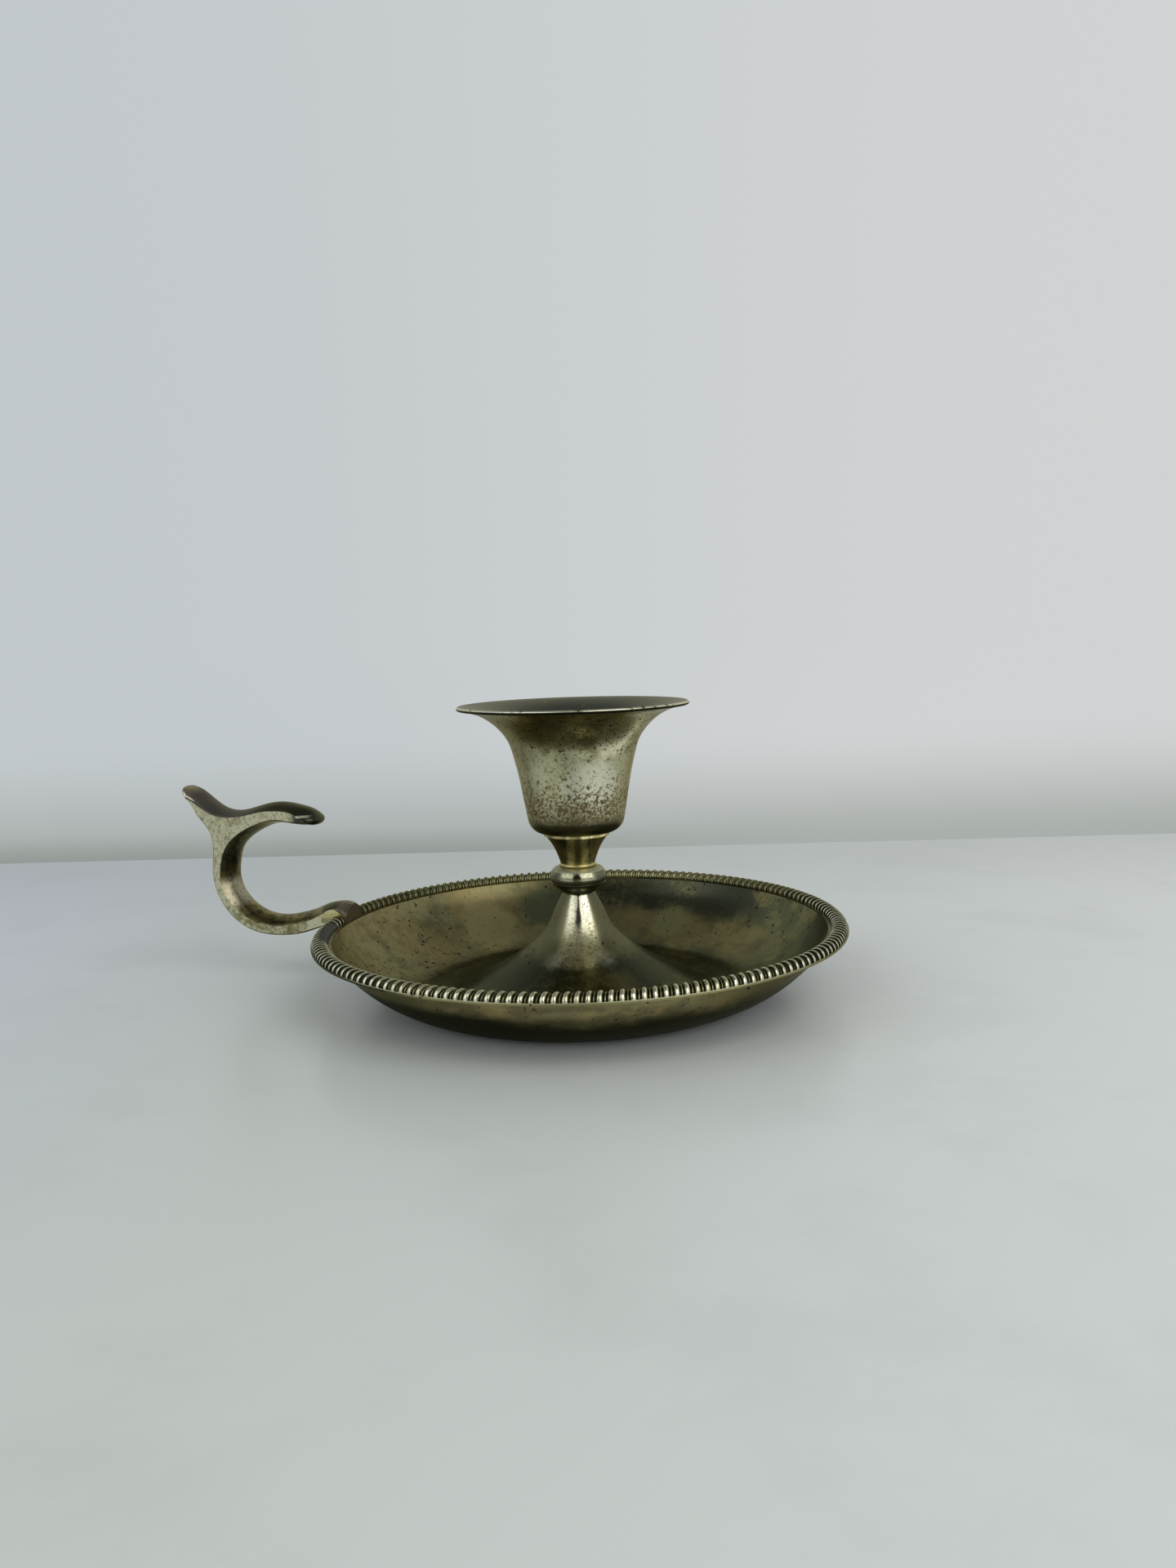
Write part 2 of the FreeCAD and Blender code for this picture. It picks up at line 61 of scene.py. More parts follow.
# Room: a dim ceiling, and a dark figure that stands in front, between the two lights
CEILING_COLOUR = (0.20, 0.21, 0.20)
CEILING_START = math.radians(30)
CEILING_FULL = math.radians(62)
FIGURE_COLOUR = (0.05, 0.05, 0.045)
FIGURE_AZIMUTH = math.radians(-5)
FIGURE_HALF_WIDTH = math.radians(18)
FIGURE_SIDE_BLUR = 0.15
FIGURE_TOP = math.radians(58)
FIGURE_TOP_BLUR = math.radians(6)

# The rope border's pattern, as in the solids: a lobe and a thin ridge in each pitch
ROPE_LOBES = 180
ROPE_LOBE_SHARE = 0.68
ROPE_SLANT = 0.9 * MM
ROPE_CENTRE = 67.75 * MM
ROPE_WIDTH = 4.2 * MM
# How far from its grooves, as a share of the pitch, the rope is dull, and dark with dirt and painted shade,
# and what changes that
RIDGE_BLUR = 0.02
GROOVE_DULL = (0.16, 0.07)
GROOVE_DIRT_AND_SHADE = (0.09, 0.02)
GRIME_SIZE = 1.5 * MM
GRIME_REACH = 0.12
GROOVE_SHADE_ASIDE = 0.06
GROOVE_SHADE_BEHIND = 0.06

# Silver plate, brass and dirt in their states, as reflected colour. Some are also laid as painted shade and
# painted highlights
BRIGHT_SILVER = (0.72, 0.70, 0.54)
PALE_SILVER = (0.57, 0.55, 0.36)
OLIVE_SILVER = (0.27, 0.25, 0.12)
BROWN_SILVER = (0.26, 0.215, 0.095)
GREEN_SILVER = (0.12, 0.13, 0.07)
BLACK_SILVER = (0.055, 0.058, 0.036)
KNOP_SILVER = (0.42, 0.42, 0.29)
CONE_SILVER = (0.36, 0.345, 0.20)
CONE_EDGE_SILVER = (0.14, 0.134, 0.075)
RUBBED_SILVER = (0.30, 0.28, 0.18)
TAN_SILVER = (0.38, 0.33, 0.16)
DUSKY_SILVER = (0.16, 0.14, 0.07)
WARM_SILVER = (0.52, 0.46, 0.28)
UNDER_SILVER = (0.13, 0.105, 0.043)
SMOKY_SILVER = (0.125, 0.125, 0.10)
AMBER_SILVER = (0.50, 0.37, 0.14)
SPOOL_SILVER = (0.95, 0.85, 0.46)
FLARE_SILVER = (0.93, 0.87, 0.60)
HOLLOW_SILVER = (0.26, 0.27, 0.20)
SADDLE_SILVER = (0.23, 0.195, 0.155)
TOE_SILVER = (0.36, 0.28, 0.16)
LIP_SILVER = (0.14, 0.145, 0.125)
PURPLE_SILVER = (0.125, 0.11, 0.095)
SCROLL_SILVER = (0.34, 0.31, 0.215)
GREY_SOLDER = (0.10, 0.10, 0.09)
YELLOW_BRASS = (0.50, 0.43, 0.19)
PALE_BRASS = (0.60, 0.53, 0.28)
OLD_BRASS = (0.50, 0.445, 0.22)
SPECKLE = (0.085, 0.065, 0.03)
BROWN_SPECKLE = (0.20, 0.155, 0.075)
# Dirt in the pits, also laid as painted shade under the pan, in the grooves, along the handle's edges and
# round the lip
DIRT_AND_SHADE = (0.02, 0.02, 0.012)

# What the metals reflect at a grazing angle
GRAZING_TINT = (0.90, 0.84, 0.66)
PAN_TINT = (0.66, 0.65, 0.55)
BORDER_TINT = (0.66, 0.64, 0.48)

# Zones of the finishes: what is measured, where the zone begins and where it is full. The size and the
# reach of the rags follow where a zone's edge is ragged. All are in millimetres, but SHARES have no unit
SHARES = ("aside", "facing_z", "sideways")
ZONES = {
    "upward": ("facing_z", -0.1, 0.1),
    "downward": ("facing_z", 0.0, -0.1),
    # The dish's inside
    "off_cone": ("radius", 15, 20),
    "dish_right": ("rightward", -8, 26, 22, 40),
    "band_inner": ("radius", 44, 50),
    "band_outer": ("radius", 60, 56),
    "band_back": ("backward", 5, 30),
    "floor_ring": ("radius", 42, 32, 12, 18),
    "floor_ring_front": ("backward", 12, -2),
    "skirt_outer": ("radius", 34, 30),
    "skirt_inner": ("radius", 15, 22),
    "ring_behind": ("radius", 49, 42, 12, 10),
    "ring_behind_back": ("backward", -6, 10),
    "dark_back": ("backward", 18, 44, 16, 24),
    "dark_back_wall": ("radius", 56, 61, 10, 8),
    "dark_back_right": ("rightward", -25, 5),
    # The cone
    "cone": ("radius", 17.6, 12.0, 4, 7),
    "cone_low": ("radius", 5, 11),
    "cone_matt": ("radius", 7, 10.5),
    "cone_satin": ("radius", 5, 9),
    "cone_grain": ("radius", 3, 6),
    "cone_flank": ("aside", 0.36, 0.56),
    "skirt_flank": ("aside", 0.45, 0.70),
    "skirt_flank_inner": ("radius", 9, 13),
    "skirt_flank_outer": ("radius", 30, 24),
    "cone_gap": ("from_gap", 1.3, 0.5),
    "cone_gap_low": ("radius", 13, 9),
    # The pan's outside and edge
    "under_flanks": ("from_middle", 16, 44),
    "under_low": ("z", 12.5, 7, 10, 6),
    "under_shade": ("z", 12, 9),
    "under_shade_left": ("rightward", 5, -25),
    "pan_edge": ("radius", 69.5, 69.9),
    "pan_edge_left": ("rightward", -34, -46),
    "pan_edge_top": ("z", 16.75, 16.9),
    "pan_edge_front": ("backward", -36, -54),
    "pan_left": ("rightward", 0, -40),
    # The border
    "border_back": ("backward", 5, 28),
    "border_left": ("rightward", 20, -5),
    "behind": ("backward", 0, 40),
    "far_behind": ("backward", 20, 55),
    "far_aside": ("from_middle", 30, 60),
    # The handle's thumb rest
    "rest_top": ("facing_z", 0.15, 0.4),
    "rest_height": ("z", 43, 44.5),
    "rest_far": ("x", -90, -97),
    "rest_tip": ("x", -81, -78.5),
    "rest_tip_height": ("z", 41, 43),
    "tip_line_start": ("x", -79, -78),
    "tip_line_end": ("x", -74.5, -76),
    "tip_line_near": ("y", -2, -3),
    "tip_line": ("from_tip_line", 0.4, 0.2),
    "tip_edge_start": ("x", -109.2, -110.4),
    "tip_edge_end": ("x", -114, -113),
    "tip_edge_under": ("sideways", 0.74, 0.80),
    "tip_edge_over": ("sideways", 0.96, 0.90),
    # The handle's sides, scroll and saddle
    "outline_inner": ("sideways", 0.80, 0.86),
    "outline_outer": ("sideways", 0.97, 0.92),
    "flat_side": ("sideways", 0.88, 0.96),
    "off_tip": ("x", -76, -78),
    "side_low": ("z", 22, 17),
    "side_lower_half": ("z", 24, 17),
    "inward": ("sideways", 0.86, 0.80),
    "scroll_height": ("z", 44, 42),
    "scroll_length": ("x", -72, -76),
    "scroll_shade_height": ("z", 27, 33, 5, 8),
    "scroll_shade_near": ("y", 2, -1, 3, 3),
    "scroll_shade_top": ("z", 45, 43),
    "saddle_length": ("x", -72, -67),
    "saddle_height": ("z", 30, 28),
    "toe": ("x", -64.6, -64),
    # The cup
    "cup_left": ("rightward", 2, -14),
    "cup_flare": ("z", 58, 70),
    "cup_lower_half": ("z", 64, 52),
    "cup_flank": ("aside", 0.6, 0.95),
    "flare_start": ("z", 58, 66),
    "flare_left": ("rightward", 14, 0),
    "speckled": ("z", 60, 50, 6, 6),
    "under_lip": ("z", 60, 66),
    "cup_foot": ("z", 48, 45, 4, 2),
    "lip_under": ("facing_z", -0.3, -0.7),
    "lip_under_edge": ("radius", 29.2, 29.6),
    "cup_inside": ("facing_z", 0.15, 0.35),
    "lip_top": ("radius", 20, 24),
    "lip_edge": ("radius", 29.7, 29.85),
    "lip_corner": ("z", 75.65, 75.8),
    # The knop, the spool and the braze
    "knop_flank": ("aside", 0.52, 0.72),
    "knop_gap": ("from_gap", 1.2, 0.7),
    "knop_shoulder": ("z", 32.1, 32.5),
    "knop_hollow": ("z", 30.4, 29.9),
    "spool_streaks": ("from_streaks", 1.5, 0.5),
    "spool_right": ("rightward", 2.9, 3.7),
    "spool_flange": ("z", 41.5, 41.7),
    "braze_low": ("z", 18.9, 17.8, 1, 1),
    "braze_top": ("z", 19.3, 20.0),
    # The shelf
    "shelf_left": ("rightward", -60, -220),
    "shelf_right": ("rightward", -150, 300),
    "shelf_back": ("backward", 60, SHELF_DEPTH / MM),
}
# Lines that zones are measured from: the gap between the lights' reflections, the spool's two painted
# highlight streaks with their middle, and a painted highlight line along the thumb rest's near tip
GAP_RIGHTWARD = -0.5 * MM
STREAKS_MIDDLE = 0.15 * MM
STREAKS_ASIDE = 1.85 * MM
TIP_LINE_HEIGHT = 46.3 * MM

# Blots of noise: size in millimetres, detail, roughness, and the noise where they begin and are full
BLOTS = {
    "dish_olive": (20, 4, 0.55, 0.46, 0.64),
    "pan_pitted": (14, 3, 0.50, 0.40, 0.50),
    "pan_pits": (1.4, 5, 0.65, 0.62, 0.655),
    "under_olive": (14, 4, 0.60, 0.44, 0.60),
    "border_pale": (5, 3, 0.50, 0.45, 0.65),
    "handle_smoke": (9, 4, 0.60, 0.50, 0.66),
    "side_olive": (4, 5, 0.70, 0.54, 0.72),
    "side_scratches": (1.2, 4, 0.70, 0.58, 0.66),
    "side_low_olive": (3, 5, 0.70, 0.42, 0.58),
    "handle_pits": (0.8, 5, 0.65, 0.62, 0.68),
    "cup_olive": (12, 4, 0.60, 0.52, 0.68),
    "cup_warm": (6, 3, 0.50, 0.42, 0.58),
    "cup_olive_specks": (0.9, 5, 0.65, 0.58, 0.66),
    "cup_brown_specks": (0.8, 5, 0.65, 0.60, 0.64),
    "cup_dark_specks": (0.9, 5, 0.65, 0.63, 0.67),
    "lip_scuffs": (3, 4, 0.70, 0.60, 0.66),
    "lip_rubs": (2.5, 3, 0.50, 0.28, 0.42),
    "spool_warm": (4, 4, 0.60, 0.50, 0.64),
    "spool_wear": (3, 3, 0.50, 0.40, 0.55),
    "brass_dull": (1.5, 4, 0.60, 0.50, 0.64),
}
# How much longer or shorter than their size some blots are along each axis
STRETCHES = {
    "under_olive": (2, 2, 0.4),
    "side_scratches": (0.5, 1, 2),
    "lip_scuffs": (0.4, 1.6, 1),
}
# How much more pitted the pan's left is, and the cup low down, in crowds and under the lip
PAN_PITS_LEAN = 0.02
LOW_SPECKS_LEAN = 0.10
CROWD_SIZE = 6 * MM
CROWD_LEAN = 0.25
UNDER_LIP_LEAN = 0.06

# Thin ragged clouds: size in millimetres, strength, colour, and the noise where they begin and are full
CLOUDS = {
    "dish_soot": (7, 0.55, BLACK_SILVER, 0.46, 0.66),
    "dish_rubs": (3, 0.45, RUBBED_SILVER, 0.52, 0.70),
    "dish_dusk": (2, 0.5, DUSKY_SILVER, 0.48, 0.66),
    "dish_grain": (0.9, 0.4, DUSKY_SILVER, 0.50, 0.62),
    "dish_brown": (12, 0.6, BROWN_SILVER, 0.48, 0.60),
    "cone_satin": (1.0, 0.7, DUSKY_SILVER, 0.48, 0.62),
    "cone_grain": (0.5, 0.6, DUSKY_SILVER, 0.52, 0.64),
    "under_amber": (9, 0.7, AMBER_SILVER, 0.44, 0.60),
    "under_soot": (3.5, 0.6, BLACK_SILVER, 0.52, 0.70),
    "side_dusk": (0.9, 0.6, DUSKY_SILVER, 0.50, 0.64),
    "side_low_dusk": (1.3, 0.7, DUSKY_SILVER, 0.46, 0.62),
    "scroll_soot": (2.5, 0.8, BLACK_SILVER, 0.44, 0.60),
    "scroll_dusk": (1.2, 0.7, DUSKY_SILVER, 0.50, 0.62),
    "saddle_soot": (2, 0.6, BLACK_SILVER, 0.46, 0.66),
    "flare_olive": (3, 0.6, OLIVE_SILVER, 0.44, 0.62),
    "cup_dusk": (1.2, 0.5, DUSKY_SILVER, 0.52, 0.66),
    "knop_olive": (0.9, 0.7, OLIVE_SILVER, 0.42, 0.62),
    "knop_grain": (0.45, 0.5, DUSKY_SILVER, 0.50, 0.62),
    "shoulder_olive": (1.5, 0.5, OLIVE_SILVER, 0.46, 0.66),
    "spool_dusk": (1.5, 0.5, DUSKY_SILVER, 0.46, 0.66),
    "braze_olive": (1.0, 0.5, OLIVE_SILVER, 0.46, 0.66),
    "shelf_mottling": (60, 0.10, WALL_LOW_COLOUR, 0.46, 0.66),
}
CLOUD_DETAIL = 5
CLOUD_ROUGHNESS = 0.65

# How strongly the layers that cover only in part are laid
RING_BEHIND_SHARE = 0.85
CONE_GAP_SHARE = 0.35
UNDER_MIDDLE_SHARE = 0.25
BEHIND_SHARE = 0.85
FAR_BEHIND_SHARE = 0.55
TIP_END_SHARE = 0.8
CUP_FLANK_SHARE = 0.6
# Where the rubs fade out, by how far the dish has turned from brown to green
BROWN_HALF = (0.6, 0.2)

# Rubs and smudges, and on the cup painted highlights: the place and the reach in millimetres, and the colour
DISH_PATCHES = [((62.5, 15.5, 14.3), 15, BLACK_SILVER),
                ((-47, 43, 10), 13, BROWN_SILVER),
                ((-39, 39, 6), 16, TAN_SILVER),
                ((-26, 54, 9), 13, GREEN_SILVER),
                ((6.8, 63, 12.9), 12, BLACK_SILVER),
                ((30, 57, 15), 18, BLACK_SILVER),
                ((13.7, 53.1, 5.5), 10, OLIVE_SILVER)]
# Painted highlights on the cup's right and on its flare
CUP_HIGHLIGHTS = [((7.2, -11.0, 56), 12, BRIGHT_SILVER),
               ((15.5, -11.5, 69.3), 11, FLARE_SILVER)]
SADDLE_PATCHES = [((-70.5, -3, 21), 5, BLACK_SILVER)]
PATCH_RAG = (4 * MM, 0.9)
PATCH_EDGE = (0.15, 0.65)

# A smear of solder on the border beside the handle, across the share of the rope's width given
SOLDER_PLACE = (-63 * MM, -21.5 * MM, 17.5 * MM)
SOLDER_REACH = 16 * MM
SOLDER_BAND = (0.12, -0.08)
SOLDER_EDGE = (0.10, 0.40)
# A painted highlight: the brightest spot inside the handle's scroll
SHINE_PLACE = (-100.3 * MM, -2.0 * MM, 24.0 * MM)
SHINE_REACH = 9 * MM
SHINE_RAG = (1.5 * MM, 1.2)
SHINE_EDGE = (0.25, 0.65)
# The worn far end of the thumb rest
TIP_END_PLACE = (-113.5 * MM, -1.5 * MM, 54.5 * MM)
TIP_END_REACH = 5 * MM

# Fine relief: the size and the depth of tool marks round the axis, and of bumps
PAN_TOOL_MARKS = (0.35 * MM, 0.005 * MM)
CUP_TOOL_MARKS = (0.3 * MM, 0.005 * MM)
KNOP_TOOL_MARKS = (0.2 * MM, 0.004 * MM)
SPOOL_TOOL_MARKS = (0.2 * MM, 0.005 * MM)
PAN_BUMPS = (6 * MM, 0.05 * MM)
HANDLE_BUMPS = (1.2 * MM, 0.02 * MM)
BRASS_BUMPS = (0.8 * MM, 0.02 * MM)

# The mix node's sockets for numbers and for colours: the value below, the one laid over it, and the result
NUMBER_SOCKETS = (2, 3, 0)
COLOUR_SOCKETS = (6, 7, 2)


class Nodes:
    """Short ways to add shader nodes to a tree."""

    def __init__(self, tree):
        self.nodes = tree.nodes
        self.links = tree.links

    def feed(self, socket, value):
        """Links a socket to an output, or sets it to a number or a colour."""
        if isinstance(value, bpy.types.NodeSocket):
            self.links.new(value, socket)
        elif isinstance(value, tuple) and len(socket.default_value) == 4:
            socket.default_value = (*value, 1)
        else:
            socket.default_value = value

    def sum(self, operation, *values):
        """The result of one arithmetic step."""
        node = self.nodes.new("ShaderNodeMath")
        node.operation = operation
        for socket, value in zip(node.inputs, values):
            self.feed(socket, value)
        return node.outputs[0]

    def both(self, *masks):
        """The mask where all the masks are. A number among them weakens it."""
        result = masks[0]
        for mask in masks[1:]:
            result = self.sum("MULTIPLY", result, mask)
        return result

    def between(self, value, low, high):
        """A mask that goes smoothly from 0 where the value is at low to 1 where it is at high."""
        node = self.nodes.new("ShaderNodeMapRange")
        node.interpolation_type = "SMOOTHSTEP"
        self.feed(node.inputs["Value"], value)
        self.feed(node.inputs["From Min"], low)
        self.feed(node.inputs["From Max"], high)
        return node.outputs["Result"]

    def mix(self, mask, below, over, sockets=COLOUR_SOCKETS):
        """The colour below, or the one over it where the mask is 1. With NUMBER_SOCKETS it mixes numbers."""
        below_socket, over_socket, result = sockets
        node = self.nodes.new("ShaderNodeMix")
        if sockets == COLOUR_SOCKETS:
            node.data_type = "RGBA"
        self.feed(node.inputs["Factor"], mask)
        self.feed(node.inputs[below_socket], below)
        self.feed(node.inputs[over_socket], over)
        return node.outputs[result]

    def parts(self, vector):
        """The three parts of a vector."""
        node = self.nodes.new("ShaderNodeSeparateXYZ")
        self.feed(node.inputs[0], vector)
        return node.outputs

    def joined(self, *parts):
        """A vector from up to three parts."""
        node = self.nodes.new("ShaderNodeCombineXYZ")
        for socket, part in zip(node.inputs, parts):
            self.feed(socket, part)
        return node.outputs[0]

    def vector_sum(self, operation, output, *values):
        """The result of one step with vectors, from the output named."""
        node = self.nodes.new("ShaderNodeVectorMath")
        node.operation = operation
        for socket, value in zip(node.inputs, values):
            self.feed(socket, value)
        return node.outputs[output]


class Finish(Nodes):
    """A metal finish whose colour and roughness are built up in layers, each laid on through a mask."""

    def __init__(self, name, colour, roughness, tint=GRAZING_TINT):
        self.material = bpy.data.materials.new(name)
        self.material.use_nodes = True
        super().__init__(self.material.node_tree)
        self.shader = self.nodes["Principled BSDF"]
        self.shader.inputs["Metallic"].default_value = 1
        self.shader.inputs["Specular Tint"].default_value = (*tint, 1)
        self.place = self.nodes.new("ShaderNodeTexCoord").outputs["Object"]
        self.colour = colour
        self.roughness = roughness
        self.height = None
        self.measures = self.measured()
        self.zones = {}

    def measured(self):
        """The measures that zones are made from."""
        x, y, z = self.parts(self.place)
        facing = self.parts(self.nodes.new("ShaderNodeNewGeometry").outputs["Normal"])
        radius = self.sum("SQRT", self.sum("ADD", self.both(x, x), self.both(y, y)))
        rightward = self.sum("ADD", self.both(x, math.cos(CAMERA_AZIMUTH)),
                             self.both(y, math.sin(CAMERA_AZIMUTH)))
        backward = self.sum("SUBTRACT", self.both(y, math.cos(CAMERA_AZIMUTH)),
                            self.both(x, math.sin(CAMERA_AZIMUTH)))
        return {
            "x": x, "y": y, "z": z,
            "radius": radius,
            "rightward": rightward,
            "backward": backward,
            "aside": self.sum("DIVIDE", self.sum("ABSOLUTE", rightward), radius),
            "facing_z": facing[2],
            "sideways": self.sum("ABSOLUTE", facing[1]),
            "from_middle": self.sum("ABSOLUTE", rightward),
            "from_gap": self.distance(rightward, GAP_RIGHTWARD),
            "from_streaks": self.distance(self.distance(rightward, STREAKS_MIDDLE), STREAKS_ASIDE),
            "from_tip_line": self.distance(z, TIP_LINE_HEIGHT),
        }

    def distance(self, value, middle):
        """How far the value is from the middle, to either side."""
        return self.sum("ABSOLUTE", self.sum("SUBTRACT", value, middle))

    def noise(self, size, detail=3, roughness=0.5, stretch=(1, 1, 1), place=None):
        """Cloudy noise with blots of about the size."""
        mapping = self.nodes.new("ShaderNodeMapping")
        mapping.inputs["Scale"].default_value = [1 / (size * share) for share in stretch]
        self.feed(mapping.inputs["Vector"], place or self.place)
        node = self.nodes.new("ShaderNodeTexNoise")
        node.inputs["Scale"].default_value = 1
        node.inputs["Detail"].default_value = detail
        node.inputs["Roughness"].default_value = roughness
        self.feed(node.inputs["Vector"], mapping.outputs[0])
        return node.outputs["Fac"]

    def ragged(self, value, size, reach):
        """The value moved up or down by noise, so that a mask made from it has a ragged edge."""
        rags = self.sum("SUBTRACT", self.noise(size, 4, 0.6), 0.5)
        return self.sum("ADD", value, self.both(rags, reach))

    def zone(self, *names):
        """The mask where all the named zones are."""
        for name in names:
            if name in self.zones:
                continue
            measure, begin, full, *rags = ZONES[name]
            unit = 1 if measure in SHARES else MM
            value = self.measures[measure]
            if rags:
                value = self.ragged(value, *(length * MM for length in rags))
            self.zones[name] = self.between(value, begin * unit, full * unit)
        return self.both(*(self.zones[name] for name in names))

    def blots(self, name, lean=None):
        """The mask of the named blots, with more of them where the lean is high."""
        size, detail, roughness, begin, full = BLOTS[name]
        grain = self.noise(size * MM, detail, roughness, STRETCHES.get(name, (1, 1, 1)))
        if lean is not None:
            grain = self.sum("ADD", grain, lean)
        return self.between(grain, begin, full)

    def near(self, point, reach):
        """A mask that is 1 at the point and falls to 0 at the reach from it."""
        return self.between(self.vector_sum("DISTANCE", "Value", self.place, point), reach, 0)

    def lay(self, mask, colour=None, roughness=None):
        """Lays a colour, a roughness or both over what is there already, where the mask is 1."""
        if colour is not None:
            self.colour = self.mix(mask, self.colour, colour)
        if roughness is not None:
            self.roughness = self.mix(mask, self.roughness, roughness, NUMBER_SOCKETS)

    def cloud(self, name, where=None):
        """Lays the named clouds, where the mask allows them."""
        size, strength, colour, begin, full = CLOUDS[name]
        grain = self.noise(size * MM, CLOUD_DETAIL, CLOUD_ROUGHNESS)
        mask = self.both(self.between(grain, begin, full), strength)
        self.lay(mask if where is None else self.both(mask, where), colour)

    def patches(self, rows):
        """Lays a ragged patch for each row of place, reach and colour."""
        for place, reach, colour in rows:
            spread = self.near([part * MM for part in place], reach * MM)
            self.lay(self.between(self.ragged(spread, *PATCH_RAG), *PATCH_EDGE), colour)

    def relief(self, value, depth):
        """Adds the value to the surface's fine relief, up to the depth."""
        step = self.both(value, depth / MM)
        self.height = step if self.height is None else self.sum("ADD", self.height, step)

    def tool_marks(self, size, depth):
        """Adds fine relief that is the same all round the axis, as a spinner's tool leaves it."""
        round_axis = self.joined(self.measures["radius"], 0, self.measures["z"])
        self.relief(self.noise(size, 2, place=round_axis), depth)

    def bumps(self, size, depth, detail=3):
        """Adds fine bumps."""
        self.relief(self.noise(size, detail), depth)

    def done(self):
        """Joins the layers to the shader and gives the material."""
        self.feed(self.shader.inputs["Base Color"], self.colour)
        self.feed(self.shader.inputs["Roughness"], self.roughness)
        if self.height is not None:
            bump = self.nodes.new("ShaderNodeBump")
            bump.inputs["Distance"].default_value = MM
            self.feed(bump.inputs["Height"], self.height)
            self.feed(self.shader.inputs["Normal"], bump.outputs[0])
        return self.material


def lay_dish(finish):
    """The pan's inside: brown on the left, green black on the right, dark at the back, and black round the
    cone as painted reflection.
    """
    finish.lay(finish.blots("dish_olive"), OLIVE_SILVER, 0.38)
    finish.lay(finish.zone("dish_right"), GREEN_SILVER, 0.30)
    finish.lay(finish.zone("dish_right", "band_inner", "band_outer", "band_back"), BROWN_SILVER, 0.34)
    # Painted reflection: black rings round the cone's foot and behind it, where the cone and the cup are
    # mirrored
    finish.lay(finish.zone("floor_ring", "floor_ring_front"), BLACK_SILVER, 0.24)
    finish.lay(finish.zone("skirt_outer", "skirt_inner"), BLACK_SILVER, 0.26)
    ring_behind = finish.both(finish.zone("ring_behind", "ring_behind_back"), RING_BEHIND_SHARE)
    finish.lay(ring_behind, BLACK_SILVER, 0.28)
    finish.lay(finish.zone("dark_back", "dark_back_wall", "dark_back_right"), BLACK_SILVER, 0.26)
    inside = finish.zone("upward", "off_cone")
    brown_half = finish.between(finish.zone("dish_right"), *BROWN_HALF)
    finish.cloud("dish_soot", inside)
    finish.cloud("dish_rubs", finish.both(inside, brown_half))
    finish.cloud("dish_dusk", inside)
    finish.cloud("dish_grain", inside)
    finish.cloud("dish_brown", finish.both(inside, finish.zone("dish_right")))


def lay_cone(finish):
    """The pan's cone: bright at the top, satin lower down, with painted shade on its flanks as seen and a
    painted dark gap between the lights' reflections.
    """
    cone = finish.zone("cone", "upward")
    finish.lay(cone, BRIGHT_SILVER, 0.12)
    finish.lay(finish.both(cone, finish.zone("cone_low")), CONE_SILVER)
    finish.lay(finish.both(cone, finish.zone("cone_matt")), roughness=0.42)
    # Painted shade: the skirt and the cone go black on their flanks as the camera sees them
    skirt_flank = finish.zone("skirt_flank_inner", "skirt_flank_outer", "skirt_flank", "upward")
    finish.lay(skirt_flank, BLACK_SILVER, 0.30)
    finish.lay(finish.both(cone, finish.zone("cone_flank")), CONE_EDGE_SILVER, 0.34)
    # Painted reflection: a darker gap between the two lights' reflections
    gap = finish.both(cone, finish.zone("cone_gap", "cone_gap_low"), CONE_GAP_SHARE)
    finish.lay(gap, CONE_EDGE_SILVER)
    finish.cloud("cone_satin", finish.both(cone, finish.zone("cone_satin")))
    finish.cloud("cone_grain", finish.both(cone, finish.zone("cone_grain")))


def lay_underside(finish):
    """The pan's outside: brown with olive and amber blots, with painted shade on its flanks as seen, a
    painted warm reflection in its middle, and painted shade low down.
    """
    outside = finish.zone("downward")
    flanks = finish.zone("under_flanks")
    finish.lay(outside, UNDER_SILVER, 0.36)
    finish.lay(finish.both(outside, finish.blots("under_olive")), OLIVE_SILVER, 0.38)
    finish.cloud("under_amber", outside)
    finish.cloud("under_soot", outside)
    # Painted shade on the flanks and a painted reflection in the middle, as the camera sees them
    finish.lay(finish.both(outside, flanks), DUSKY_SILVER)
    middle = finish.both(outside, finish.sum("SUBTRACT", 1, flanks), UNDER_MIDDLE_SHARE)
    finish.lay(middle, WARM_SILVER)
    # Painted shade: the mirrored contact shadow low down, and more of it on the left
    finish.lay(finish.both(outside, finish.zone("under_low")), DIRT_AND_SHADE, 0.36)
    finish.lay(finish.both(outside, finish.zone("under_shade", "under_shade_left")), DIRT_AND_SHADE, 0.5)


def lay_pan_edge(finish):
    """The pan's edge: olive, with painted shade on the left and a painted highlight along the top in front.
    """
    finish.lay(finish.zone("pan_edge"), OLIVE_SILVER, 0.34)
    # Painted shade on the left, and a painted highlight line along the top in front
    finish.lay(finish.zone("pan_edge", "pan_edge_left"), BLACK_SILVER)
    finish.lay(finish.zone("pan_edge", "pan_edge_top", "pan_edge_front"), PALE_SILVER, 0.30)


def pan_plate():
    """The pan's plate, with smudges and pits."""
    finish = Finish("pan_plate", BROWN_SILVER, 0.34, PAN_TINT)
    lay_dish(finish)
    lay_cone(finish)
    lay_underside(finish)
    finish.patches(DISH_PATCHES)
    lay_pan_edge(finish)
    pits = finish.blots("pan_pits", finish.both(finish.zone("pan_left"), PAN_PITS_LEAN))
    finish.lay(finish.both(pits, finish.blots("pan_pitted")), DIRT_AND_SHADE, 0.6)
    finish.tool_marks(*PAN_TOOL_MARKS)
    finish.bumps(*PAN_BUMPS)
    return finish.done()


